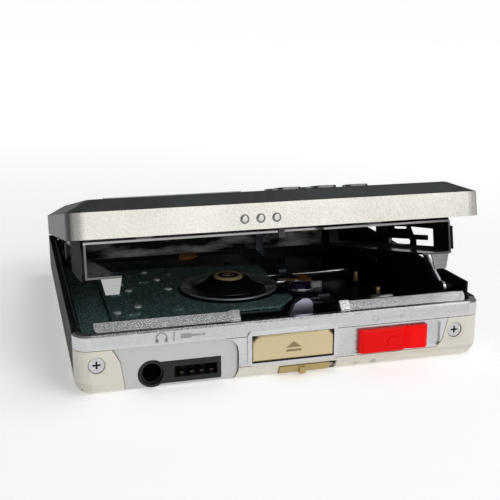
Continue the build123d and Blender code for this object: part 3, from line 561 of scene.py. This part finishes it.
class RECORDER_OT_case(bpy.types.Operator):
    """Finish the lower case, belt, panels, rails and screws"""
    bl_idname = "recorder.case"
    bl_label = "Case"

    def execute(self, context):
        values = settings()
        # The near-black colour is painted shade inside the case walls.
        dress(["lower_case"], painted_case("cream_paint", values.cream, (0.006, 0.007, 0.008)), 0.12)
        dress(["front_panel"], satin_metal("silver_cast", values.silver, 0.30, 0.5, 4200.0, 1.04), 0.2)
        dress(["jack_panel"],
              satin_metal("grey_satin", (0.47, 0.48, 0.475), 0.45, 0.12, 7000.0, 1.1, 0.3), 0.3)
        # The pale colour is painted reflection on the cover's bay side.
        dress(["rear_cover"], cover_with_painted_reflection("black_cover", (0.008, 0.009, 0.011), (0.90, 0.88, 0.84)), 0.12)
        dress(["side_rail_left", "side_rail_right"],
              moulded("black_rail", (0.010, 0.011, 0.012), 0.5, 3800.0, 0.3, 0.0, 1.5, 0.02, 0.12), 0.12)
        dress(["remote_connector", "line_jack", "microphone_jack", "protect_plunger", "cartridge_plunger"],
              moulded("black_moulding", (0.004, 0.0045, 0.005), 0.3, 5200.0, 0.15, 0.1, 1.5, 0.01, 0.3), 0.12)
        # The dark second colour is painted shade in the screw recesses.
        dress(["front_screws"], recessed_head("screw_heads", (0.60, 0.60, 0.61), (0.03, 0.03, 0.03)), 0.1)
        dress(["bottom_screws"], brushed_metal("screw_plate", (0.60, 0.60, 0.61), 0.22), 0.08)
        dress(["connector_contacts"], satin_metal("contact_dull", (0.07, 0.06, 0.045), 0.4, 0.1), 0.04)
        dress(["battery_contacts", "motor_bush"],
              satin_metal("contact_brass", (0.80, 0.56, 0.24), 0.24, 0.1), 0.04)
        return {"FINISHED"}


class RECORDER_OT_lid(bpy.types.Operator):
    """Finish the lid, its holder, brackets, window and keys"""
    bl_idname = "recorder.lid"
    bl_label = "Lid"

    def execute(self, context):
        values = settings()
        # The lid's top, sides and back carry painted shade.
        dress(["lid_shell"], lid_with_painted_shade("champagne_blast", values.champagne, values.lid_painted_shade), 0.3)
        # The holder's bright feet and dark walls are painted light and painted reflection.
        dress(["disc_holder"], channel_sheet("holder_sheet", (0.27, 0.27, 0.265), (0.02, 0.02, 0.02)), 0.05)
        dress(["lid_plate"], brushed_metal("inner_sheet", (0.16, 0.165, 0.17), 0.2))
        dress(["holder_bracket_left", "holder_bracket_right"],
              moulded("black_sheet", (0.008, 0.009, 0.010), 0.6, 4200.0, 0.25, 0.0, 1.5, 0.02, 0.02), 0.05)
        dress(["holder_springs", "lid_spring", "latch_spring"],
              brushed_metal("spring_wire", (0.5, 0.5, 0.52)))
        dress(["display_window", "display_module"], gloss("window_black", (0.006, 0.006, 0.007), 0.08, 1.0))
        dress(["play_key", "stop_key", "back_key", "forward_key", "menu_key"],
              satin_metal("key_satin", (0.13, 0.135, 0.135), 0.34, 0.2, 6000.0, 1.6), 0.05)
        dress(["lid_dots"],
              brushed_metal("dot_bright", (0.46, 0.45, 0.42), 0.36, (1.0, 1.0, 1.0), 900.0), 0.1)
        dress(["key_board"], circuit("lid_board", (0.01, 0.09, 0.04), (0.30, 0.28, 0.10)))
        return {"FINISHED"}


class RECORDER_OT_mechanism(bpy.types.Operator):
    """Finish the deck, spindle, pickup, motors and frame"""
    bl_idname = "recorder.mechanism"
    bl_label = "Mechanism"

    def execute(self, context):
        values = settings()
        dress(["deck_plate"], dimpled_deck("dimpled_teal", values.deck), 0.12)
        dress(["right_frame", "cover_plate"],
              moulded("frame_black", (0.010, 0.012, 0.013), 0.36, 3600.0), 0.08)
        dress(["front_lip_left", "front_lip_right"],
              satin_metal("lip_bright", (0.84, 0.84, 0.84), 0.22, 0.3, 3000.0, 1.08), 0.15)
        dress(["turntable"], gloss("disc_black", (0.003, 0.004, 0.005), 0.3, 0.0, 0.04), 0.08)
        dress(["hub_ring"], satin_metal("hub_brass", (0.80, 0.64, 0.36), 0.3, 0.06, metallic=0.3), 0.05)
        dress(["spindle_motor", "sled_motor"], brushed_metal("motor_can", (0.42, 0.43, 0.45), 0.3), 0.06)
        dress(["pickup_sled"], satin_metal("pickup_cast", (0.035, 0.04, 0.045), 0.3, 0.2, 9000.0, 4.0), 0.08)
        dress(["head_arm"], moulded("arm_black", (0.006, 0.007, 0.008), 0.6, shine=0.02), 0.05)
        dress(["pickup_lens"], lens_glass("lens_bloom"), 0.06)
        dress(["lead_screw", "guide_rod", "hinge_pins"],
              brushed_metal("ground_steel", (0.60, 0.60, 0.62), 0.18))
        dress(["stay_arm"], brushed_metal("stay_steel", (0.30, 0.31, 0.32), 0.3), 0.05)
        dress(["latch_hook"], satin_metal("hook_zinc", (0.30, 0.30, 0.37), 0.34, 0.2), 0.1)
        dress(["lid_catch"], moulded("catch_black", (0.010, 0.011, 0.012), 0.4), 0.08)
        dress(["main_board"], circuit("main_board_green", (0.01, 0.09, 0.04), (0.30, 0.28, 0.10)))
        dress(["battery"], gloss("cell_wrap", (0.06, 0.08, 0.12), 0.3, 0.4))
        dress(["flex_cable", "sled_flex"], film("orange_film", (0.55, 0.20, 0.03), (0.70, 0.36, 0.12)))
        return {"FINISHED"}


BRASS = (0.72, 0.52, 0.24)
# Outlines and turned profiles of the small fittings in mm.
SKIRT = [(8.7, 5.52), (8.5, 5.8), (6.4, 6.4), (5.2, 7.3), (4.7, 7.72), (3.55, 7.78)]
RIM = [(11.1, 5.3), (11.55, 5.32), (11.72, 5.48), (11.68, 5.66), (11.4, 5.76), (11.1, 5.7), (11.0, 5.4)]
CUP = [(2.55, 8.14), (2.5, 8.23), (1.5, 8.25), (1.3, 8.18), (1.25, 7.6), (0.02, 7.55)]
SCREW = [(1.0, 0.0), (1.0, 0.22), (0.8, 0.36), (0.36, 0.4), (0.3, 0.22), (0.02, 0.2)]
DOME = [(0.95, 0.0), (0.9, 0.2), (0.66, 0.38), (0.34, 0.47), (0.02, 0.5)]
CAP = [(2.4, 0.0), (2.3, 0.35), (0.02, 0.4)]
COVER = [(-7.2, -36.9), (21.2, -36.9), (21.2, -34.4), (28.4, -34.4), (28.4, -36.9), (36.2, -36.9),
         (36.2, -13.6), (8.8, -13.6), (7.6, -15.0), (-3.2, -15.0), (-7.2, -19.2)]
SCREW_SPOTS = [(-5.2, -33.5, 4.25), (33.6, -31.5, 4.2), (14.0, -17.5, 4.25), (33.2, -17.0, 4.2),
               (-27.0, -35.5, 4.9), (-11.0, -21.5, 4.9), (-26.0, 20.5, 4.9), (1.5, 22.0, 4.1)]
STUD_SPOTS = [(-23.5, 5.9), (-14.2, 4.9), (-15.5, 13.2), (-28.2, -10.0), (-23.2, -6.8), (-24.9, 11.4),
              (-14.5, -33.5), (-17.6, 20.4), (-28.0, 18.4), (-10.0, -28.0)]
# Each post's foot and its height.
POSTS = [(29.4, -24.5, 4.3, 1.2), (35.8, -5.5, 1.9, 2.4), (35.8, 8.5, 1.9, 2.4)]
FINE_TURN = 72
SMALL_TURN = 20
CAP_TURN = 24


class RECORDER_OT_fittings(bpy.types.Operator):
    """Add the hub skirt, disc rim, bay cover, screws, posts, studs, pickup guards and jack backs"""
    bl_idname = "recorder.fittings"
    bl_label = "Bay fittings"

    def execute(self, context):
        black = gloss("skirt_black", (0.008, 0.009, 0.010), 0.14, 0.8)
        bright = brushed_metal("fitting_bright", (0.70, 0.71, 0.72), 0.16)
        self.add_spindle(black)
        self.add_bay(bright)
        self.add_pickup(bright)
        self.add_jack_backs(black)
        return {"FINISHED"}

    def add_spindle(self, black):
        centre = middle("turntable")
        hub = Matrix.Translation((centre.x, centre.y, 0))
        new_piece("hub_skirt", lathe_mesh("hub_skirt", SKIRT, hub), "spindle", black)
        coat = satin_metal("rim_bright", (0.62, 0.66, 0.66), 0.16, 0.06, metallic=0.7)
        new_piece("disc_rim", lathe_mesh("disc_rim", RIM, hub, FINE_TURN), "spindle", coat)
        new_piece("hub_cup", lathe_mesh("hub_cup", CUP, hub), "spindle", black)

    def add_bay(self, bright):
        sheet = gloss("cover_gloss", (0.006, 0.007, 0.008), 0.2, 0.5)
        mesh = plate_mesh("bay_cover", [COVER], 0.3, spot(0, 0, COVER_LEVEL))
        bevel(new_piece("bay_cover", mesh, "case", sheet), 0.1)
        screws = [lathe_mesh("screw", SCREW, spot(*place), SMALL_TURN) for place in SCREW_SPOTS]
        new_piece("bay_screws", joined("bay_screws", screws), "case", bright)
        brass = satin_metal("post_brass", BRASS, 0.22, 0.1, metallic=0.4)
        posts = [lathe_mesh("post", [(0.6, 0.0), (0.6, rise), (0.4, rise + 0.2), (0.02, rise + 0.25)],
                            spot(x, y, z), SMALL_TURN) for x, y, z, rise in POSTS]
        new_piece("bay_posts", joined("bay_posts", posts), "case", brass)
        studs = [lathe_mesh("stud", DOME, spot(x, y, DECK_LEVEL), SMALL_TURN) for x, y in STUD_SPOTS]
        coat = satin_metal("stud_coat", (0.85, 0.88, 0.88), 0.16, 0.1, metallic=0.3)
        new_piece("deck_studs", joined("deck_studs", studs), "case", coat)

    def add_pickup(self, bright):
        pale = satin_metal("guard_pale", (0.50, 0.53, 0.55), 0.35, 0.1, metallic=0.3)
        lens = middle("pickup_lens") / MM
        level = spot(0, 0, GUARD_LEVEL)
        guard = [bar(lens.x + 2.2, lens.y - 2.9, lens.x + 4.9, lens.y - 1.9)]
        mesh = plate_mesh("lens_guard", guard, 1.5, level)
        bevel(new_piece("lens_guard", mesh, "sled", pale), 0.12)
        hoops = [arc_band(lens.x, lens.y, 4.6, 0.35, 200, 340), arc_band(lens.x, lens.y, 3.1, 0.25, 20, 200),
                 bar(lens.x - 4.6, lens.y + 3.6, lens.x - 2.6, lens.y + 4.6)]
        mesh = plate_mesh("lens_hoops", hoops, 0.25, level)
        bevel(new_piece("lens_hoops", mesh, "sled", bright), 0.06)

    def add_jack_backs(self, black):
        wall_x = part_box("line_jack")[0].x
        inward = Matrix.Rotation(-pi / 2, 4, "Y")
        caps = []
        for name in ("line_jack", "microphone_jack"):
            centre = middle(name)
            place = Matrix.Translation((wall_x, centre.y, centre.z)) @ inward
            caps.append(lathe_mesh("cap", CAP, place, CAP_TURN))
        new_piece("jack_backs", joined("jack_backs", caps), "case", black)


def middle(name):
    """Centre of a CAD node's box in metres."""
    low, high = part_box(name)
    return (low + high) / 2


def joined(name, meshes):
    """One mesh from several."""
    mesh = bmesh.new()
    for part in meshes:
        mesh.from_mesh(part)
        bpy.data.meshes.remove(part)
    data = bpy.data.meshes.new(name)
    mesh.to_mesh(data)
    mesh.free()
    for polygon in data.polygons:
        polygon.use_smooth = True
    return data


class RECORDER_OT_controls(bpy.types.Operator):
    """Finish the open button and the two sliders"""
    bl_idname = "recorder.controls"
    bl_label = "Controls"

    def execute(self, context):
        values = settings()
        dress(["open_button"], satin_metal("open_gold", values.gold, 0.30, 0.22, 6500.0, 1.2), 0.12)
        dress(["rec_slider"], gloss("record_red", values.red, 0.4, 0.05, 0.1), 0.35)
        dress(["hold_slider"], gloss("hold_gold", (0.36, 0.27, 0.11), 0.4, 0.1, 0.2), 0.18)
        return {"FINISHED"}


# Plain signs, each a list of outlines in mm about its own middle.
PLAY = [[(-0.7, -0.8), (0.9, 0.0), (-0.7, 0.8)]]
BACK = [[(0.7, -0.8), (0.7, 0.8), (-0.5, 0.0)], bar(-0.9, -0.8, -0.6, 0.8)]
FORWARD = [[(-0.7, 0.8), (-0.7, -0.8), (0.5, 0.0)], bar(0.6, -0.8, 0.9, 0.8)]
MENU = [bar(-0.9, 0.5, 0.9, 0.75), bar(-0.9, -0.12, 0.9, 0.12), bar(-0.9, -0.75, 0.9, -0.5)]
STOP = [bar(-0.65, -0.65, 0.65, 0.65)]
KEY_SIGNS = {"play_key": PLAY, "stop_key": STOP, "back_key": BACK, "forward_key": FORWARD, "menu_key": MENU}
PHONES = [arc_band(0, 0, 0.95, 0.28, -35, 215), bar(-1.15, -0.95, -0.6, -0.25), bar(0.6, -0.95, 1.15, -0.25)]
PLUG = [bar(2.2, -0.85, 2.45, 0.95), bar(3.6, -0.45, 5.6, 0.45), bar(5.6, -0.2, 7.4, 0.2),
        bar(7.6, -0.2, 8.2, 0.2)]
RECORD = [arc_band(0, 0, 0.62, 0.2, 0, 359), bar(2.0, -0.1, 5.2, 0.1),
          [(5.2, 0.42), (5.2, -0.42), (6.3, 0.0)]]
EJECT = [[(-1.5, -0.1), (1.5, -0.1), (0.0, 1.1)], bar(-1.5, -0.95, 1.5, -0.5)]
LOCK = [[(-3.6, 0.4), (-3.6, -0.4), (-2.4, 0.0)], bar(0.0, -0.5, 1.3, 0.2),
        arc_band(0.65, 0.2, 0.42, 0.16, 0, 180, 12)]
# The case's rounded lower edge, where the hold sign lies.
ROUND_RADIUS = 3.0
HOLD_LEVEL = 1.1
HOLD_FRONT = -42.34
DOT_WIDTH = 1.3
FACE_DEPTH = 0.04
MARK_DEPTH = 0.03
BAR_COUNT = 12


class RECORDER_OT_signs(bpy.types.Operator):
    """Add the plain signs beside the controls and on the keys"""
    bl_idname = "recorder.signs"
    bl_label = "Signs"

    def execute(self, context):
        height = settings().sign_height
        ink = moulded("sign_ink", (0.10, 0.10, 0.10), 0.5)
        faint = satin_metal("sign_faint", (0.40, 0.40, 0.40), 0.3, 0.1)
        cast = satin_metal("sign_cast", (0.26, 0.26, 0.27), 0.3, 0.1)
        mesh = plate_mesh("sign_phones", PHONES + PLUG, height, front_plane(-24.0, 10.5))
        new_piece("sign_phones", mesh, "case", cast)
        mesh = plate_mesh("sign_record", RECORD, height, front_plane(18.6, 10.3))
        new_piece("sign_record", mesh, "case", faint)
        self.add_dot_rings(ink)
        sunk = satin_metal("button_sunk", (0.24, 0.19, 0.10), 0.5, 0.1)
        button_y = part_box("open_button")[0].y / MM
        mesh = plate_mesh("sign_open", EJECT, height, front_plane(1.5, 6.4, button_y))
        new_piece("sign_open", mesh, "open_control", sunk)
        lean = asin((ROUND_RADIUS - HOLD_LEVEL) / ROUND_RADIUS)
        mesh = plate_mesh("sign_hold", LOCK, height, front_plane(18.0, HOLD_LEVEL, HOLD_FRONT, lean))
        new_piece("sign_hold", mesh, "case", faint)
        self.add_display()
        self.add_key_signs(height)
        return {"FINISHED"}

    def add_dot_rings(self, ink):
        low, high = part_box("lid_dots")
        level = (LID_TURN.inverted() @ ((low + high) / 2)).z
        centre = (low.x + high.x) / 2 / MM
        step = ((high.x - low.x) / MM - DOT_WIDTH) / 2
        rings = [arc_band(centre + step * number, 0, 0.79, 0.2, 0, 359, 28) for number in (-1, 0, 1)]
        place = LID_TURN @ Matrix.Translation((0, FRONT_Y, level)) @ Matrix.Rotation(pi / 2, 4, "X")
        mesh = plate_mesh("lid_dot_rings", rings, 0.06, place)
        new_piece("lid_dot_rings", mesh, "lid", ink)

    def add_display(self):
        low, high = shut_box("display_window")
        left, right, near, far = low.x / MM, high.x / MM, low.y / MM, high.y / MM
        cells = liquid_display("display_cells", (0.13, 0.15, 0.12), (0.06, 0.07, 0.055))
        face = [bar(left + 2.6, near + 5.0, right - 2.6, far - 2.6)]
        place = LID_TURN @ Matrix.Translation((0, 0, high.z))
        mesh = plate_mesh("display_face", face, FACE_DEPTH, place)
        new_piece("display_face", mesh, "lid", cells)
        x0, y0, x1 = left + 4.0, near + 6.4, right - 4.0
        step = (x1 - x0) / BAR_COUNT
        marks = [bar(x0 + step * number, y0, x0 + step * (number + 0.6), y0 + 0.8 + 0.5 * (number % 4))
                 for number in range(BAR_COUNT)]
        marks += [bar(x0, y0 + 5.0, x0 + 6.0, y0 + 5.35), bar(x0, y0 + 9.5, x1, y0 + 9.75),
                  [(x0 + 8.0, y0 + 4.3), (x0 + 10.0, y0 + 5.3), (x0 + 8.0, y0 + 6.3)],
                  arc_band(x1 - 2.5, y0 + 6.0, 1.7, 0.3, 0, 359),
                  arc_band(x1 - 2.5, y0 + 6.0, 0.5, 0.25, 0, 359, 12)]
        dark = moulded("display_marks", (0.012, 0.014, 0.012), 0.4)
        place = LID_TURN @ Matrix.Translation((0, 0, high.z + FACE_DEPTH * MM))
        mesh = plate_mesh("display_marks", marks, MARK_DEPTH, place)
        new_piece("display_marks", mesh, "lid", dark)

    def add_key_signs(self, height):
        ink = moulded("key_ink", (0.52, 0.53, 0.52), 0.5)
        for key, outlines in KEY_SIGNS.items():
            low, high = shut_box(key)
            place = LID_TURN @ Matrix.Translation(((low.x + high.x) / 2, (low.y + high.y) / 2, high.z))
            mesh = plate_mesh("sign_" + key, outlines, height, place)
            new_piece("sign_" + key, mesh, key + "_cap", ink)


def shut_box(name):
    """Lowest and highest corners of a lid node, in the coordinates it has when the lid is shut."""
    back = LID_TURN.inverted()
    spots = [back @ vertex.co for vertex in NODES[name].data.vertices]
    return (Vector(tuple(min(place[axis] for place in spots) for axis in range(3))),
            Vector(tuple(max(place[axis] for place in spots) for axis in range(3))))


# The studio in metres, watts and degrees: each lamp's name, place, aim, size and power.
FLOOR_SIZE = 6.6
BACKDROP_RADIUS = 3.2
BACKDROP_HEIGHT = 4.5
LAMPS = [("key_light", (0.55, -0.75, 0.75), (0, 0, 0.01), 0.7, 5.2),
         ("front_light", (0.12, -1.0, 0.24), (0, 0, 0.01), 0.8, 3.2),
         ("top_light", (0.25, 0.1, 1.0), (0, 0, 0), 0.5, 2.6)]
SKY = (0.95, 0.97, 1.0, 1)
SKY_STRENGTH = 0.16
CAMERA_PLACE = (-0.0485, -0.1912, 0.0658)
CAMERA_TILT = 75.5
CAMERA_PAN = -15.6
CAMERA_LENS = 62.06


class RECORDER_OT_stage(bpy.types.Operator):
    """Add the floor, the light and the camera"""
    bl_idname = "recorder.stage"
    bl_label = "Stage"

    def execute(self, context):
        # The floor's near and far colours are painted light, a glow that grows away from the object.
        paper = pale_stage("paper", (0.90, 0.90, 0.91), (0.35, 0.35, 0.35), (0.965, 0.965, 0.965))
        flat_card("floor", FLOOR_SIZE, FLOOR_SIZE, paper)
        backdrop = drum("backdrop", BACKDROP_RADIUS, BACKDROP_HEIGHT, glow("backdrop_glow", 0.965))
        backdrop.visible_glossy = False
        backdrop.visible_diffuse = False
        world = bpy.data.worlds.new("Studio")
        world.use_nodes = True
        sky = world.node_tree.nodes["Background"]
        sky.inputs["Color"].default_value = SKY
        sky.inputs["Strength"].default_value = SKY_STRENGTH
        context.scene.world = world
        for lamp in LAMPS:
            softbox(*lamp)
        camera = bpy.data.cameras.new("Camera")
        camera.lens = CAMERA_LENS
        camera.clip_start = 0.01
        holder = bpy.data.objects.new("Camera", camera)
        holder.location = CAMERA_PLACE
        holder.rotation_euler = (radians(CAMERA_TILT), 0, radians(CAMERA_PAN))
        context.scene.collection.objects.link(holder)
        context.scene.camera = holder
        context.scene.view_settings.view_transform = "Standard"
        return {"FINISHED"}


def flat_card(name, width, depth, material):
    mesh = bmesh.new()
    bmesh.ops.create_grid(mesh, x_segments=2, y_segments=2, size=0.5)
    bmesh.ops.scale(mesh, vec=(width, depth, 1), verts=mesh.verts)
    data = bpy.data.meshes.new(name)
    mesh.to_mesh(data)
    mesh.free()
    card = bpy.data.objects.new(name, data)
    card.data.materials.append(material)
    bpy.context.scene.collection.objects.link(card)
    return card


def drum(name, radius, height, material, steps=64):
    """Round wall that stands about the floor."""
    mesh = bmesh.new()
    angles = [2 * pi * step / steps for step in range(steps)]
    rings = [[mesh.verts.new((radius * cos(angle), radius * sin(angle), level)) for angle in angles]
             for level in (-0.01, height)]
    for step in range(steps):
        after = (step + 1) % steps
        mesh.faces.new((rings[0][step], rings[0][after], rings[1][after], rings[1][step]))
    data = bpy.data.meshes.new(name)
    mesh.to_mesh(data)
    mesh.free()
    wall = bpy.data.objects.new(name, data)
    wall.data.materials.append(material)
    bpy.context.scene.collection.objects.link(wall)
    return wall


def glow(name, strength):
    finish = Finish(name, Emission_Strength=strength)
    finish.shader.inputs["Base Color"].default_value = (0, 0, 0, 1)
    finish.shader.inputs["Emission Color"].default_value = (1, 1, 1, 1)
    return finish.material


def softbox(name, place, aim, size, power):
    lamp = bpy.data.lights.new(name, "AREA")
    lamp.shape = "SQUARE"
    lamp.size = size
    lamp.energy = power
    holder = bpy.data.objects.new(name, lamp)
    holder.location = place
    holder.rotation_euler = (Vector(aim) - Vector(place)).to_track_quat("-Z", "Y").to_euler()
    bpy.context.scene.collection.objects.link(holder)


STEPS = ("case", "lid", "mechanism", "fittings", "controls", "signs", "stage")


class RECORDER_PT_panel(bpy.types.Panel):
    """Lists the steps that finish the recorder"""
    bl_idname = "RECORDER_PT_panel"
    bl_label = "Disc Recorder"
    bl_space_type = "VIEW_3D"
    bl_region_type = "UI"
    bl_category = "Disc Recorder"

    def draw(self, context):
        for prop in ("silver", "champagne", "lid_painted_shade", "cream", "red", "gold", "deck", "sign_height"):
            self.layout.prop(context.scene.recorder, prop)
        for step in STEPS:
            self.layout.operator("recorder." + step)


CLASSES = (RecorderSettings, RECORDER_OT_case, RECORDER_OT_lid, RECORDER_OT_mechanism, RECORDER_OT_fittings,
           RECORDER_OT_controls, RECORDER_OT_signs, RECORDER_OT_stage, RECORDER_PT_panel)


def register():
    for item in CLASSES:
        bpy.utils.register_class(item)
    bpy.types.Scene.recorder = bpy.props.PointerProperty(type=RecorderSettings)


def unregister():
    del bpy.types.Scene.recorder
    for item in reversed(CLASSES):
        bpy.utils.unregister_class(item)


def main():
    register()
    for step in STEPS:
        getattr(bpy.ops.recorder, step)()


if __name__ == "__main__":
    main()
